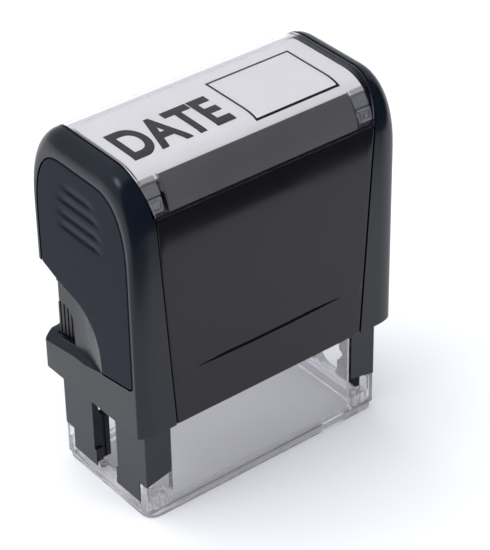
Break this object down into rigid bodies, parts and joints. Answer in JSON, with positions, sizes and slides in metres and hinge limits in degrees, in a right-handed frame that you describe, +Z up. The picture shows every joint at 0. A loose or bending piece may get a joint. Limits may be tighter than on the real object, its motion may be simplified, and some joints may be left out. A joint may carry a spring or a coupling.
{
  "type": "self-inking stamp",
  "caption": "Self-inking hand stamp: sprung cap over a clear-footed frame, with a platen that flips from ink pad to paper, a slide-out ink cartridge and a clear index window.",
  "frame": {"origin": "centre of the stamp's footprint, on the surface that the clear base stands on", "axes": "+X along the length of the stamp, -Y out of its front panel, +Z up"},
  "size_m": [0.069, 0.0354, 0.0862],
  "materials": {
    "black_plastic": "fine satin moulded black",
    "panel_plastic": "satin moulded charcoal",
    "grip_plastic": "satin moulded black with soft thumb grooves",
    "inner_plastic": "plain moulded black",
    "clear_plastic": "polished clear plastic",
    "card": "white card printed with a plain outlined box",
    "felt": "ink-soaked felt",
    "foam": "closed-cell foam sheet",
    "rubber": "cut rubber sheet",
    "spring_steel": "bright drawn wire"
  },
  "bodies": {
    "stand": {"clear_base": "clear_plastic", "frame": "black_plastic", "return_spring": "spring_steel"},
    "cap": {"cap_housing": "black_plastic", "front_panel": "panel_plastic", "back_panel": "panel_plastic", "grip_panel_right": "grip_plastic", "grip_panel_left": "grip_plastic", "index_card": "card", "bridge": "inner_plastic"},
    "lid": {"window_lid": "clear_plastic"},
    "cartridge": {"ink_cartridge": "inner_plastic", "ink_pad": "felt"},
    "platen": {"platen": "inner_plastic", "cushion": "foam", "text_plate": "rubber"}
  },
  "joints": [
    {"name": "cap_press", "type": "slide", "parent": "stand", "child": "cap", "axis": [0, 0, -1], "range_m": [0, 0.0235], "stiffness_N_per_m": 450, "springref_m": -0.02, "deforming": ["return_spring"]},
    {"name": "platen_flip", "type": "hinge", "parent": "cap", "child": "platen", "pos_m": [0, 0, 0.0306], "axis": [1, 0, 0], "range_deg": [-180, 0]},
    {"name": "cartridge_slide", "type": "slide", "parent": "stand", "child": "cartridge", "axis": [0, 1, 0], "range_m": [0, 0.031]},
    {"name": "lid_lift", "type": "slide", "parent": "cap", "child": "lid", "axis": [0, 0, 1], "range_m": [0, 0.012]}
  ],
  "couplings": [
    {"joint": "platen_flip", "follows": "cap_press", "rad_per_m": -133.68}
  ]
}
